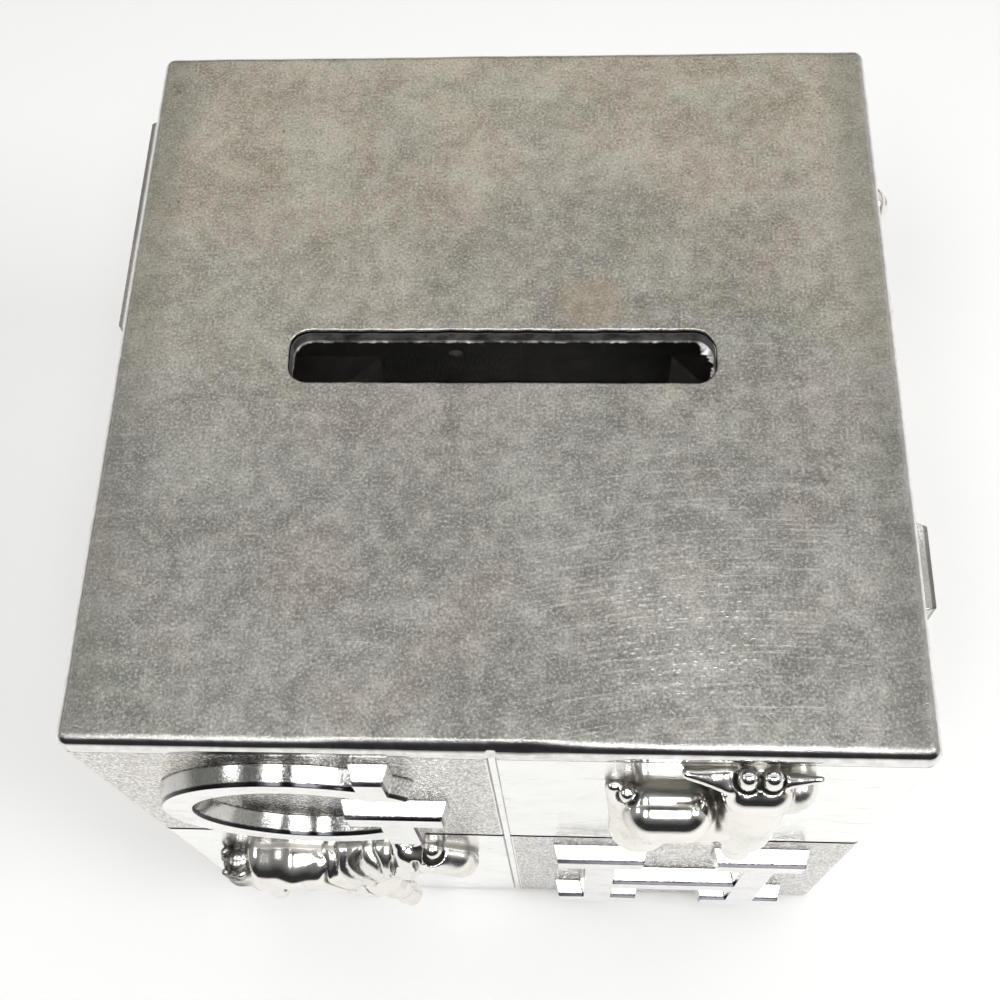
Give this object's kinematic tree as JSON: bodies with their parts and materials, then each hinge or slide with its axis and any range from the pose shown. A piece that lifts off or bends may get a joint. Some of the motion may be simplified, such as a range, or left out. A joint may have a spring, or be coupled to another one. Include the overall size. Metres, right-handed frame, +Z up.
{
  "type": "alphabet block coin bank",
  "caption": "Cube-shaped coin bank styled as an alphabet block, with raised letters and animals, a slot in its top and a stopper in its base.",
  "frame": {"origin": "on the table under the middle of the block, at the underside of the feet", "axes": "+Z up; -Y out of the side with the letters G and H; +X out of the side with A and B"},
  "size_m": [0.0837, 0.0846, 0.0766],
  "materials": {
    "tarnished_silver": "dull tarnished silver plate with fine scratches",
    "silver_plate": "polished silver plate, sand-textured behind the letters",
    "silver_letters": "bright silver plate with a lightly grained face",
    "polished_figures": "mirror-polished silver plate",
    "base_metal": "plain satin plate",
    "screw_steel": "bright turned screw heads",
    "black_rubber": "matt moulded rubber",
    "green_felt": "pressed felt"
  },
  "bodies": {
    "bank": {"top_plate": "tarnished_silver", "front_panel": "silver_plate", "right_panel": "silver_plate", "back_panel": "silver_plate", "left_panel": "silver_plate", "letter_a": "silver_letters", "letter_b": "silver_letters", "letter_c": "silver_letters", "letter_d": "silver_letters", "letter_e": "silver_letters", "letter_f": "silver_letters", "letter_g": "silver_letters", "letter_h": "silver_letters", "alligator": "polished_figures", "bear": "polished_figures", "cat": "polished_figures", "duck": "polished_figures", "elephant": "polished_figures", "fish": "polished_figures", "giraffe": "polished_figures", "horse": "polished_figures", "base_plate": "base_metal", "corner_lugs": "base_metal", "base_screws": "screw_steel", "feet": "green_felt"},
    "stopper": {"stopper": "black_rubber"}
  },
  "joints": [
    {"name": "stopper_pull", "type": "slide", "parent": "bank", "child": "stopper", "axis": [0, 0, -1], "range_m": [0, 0.012]}
  ]
}
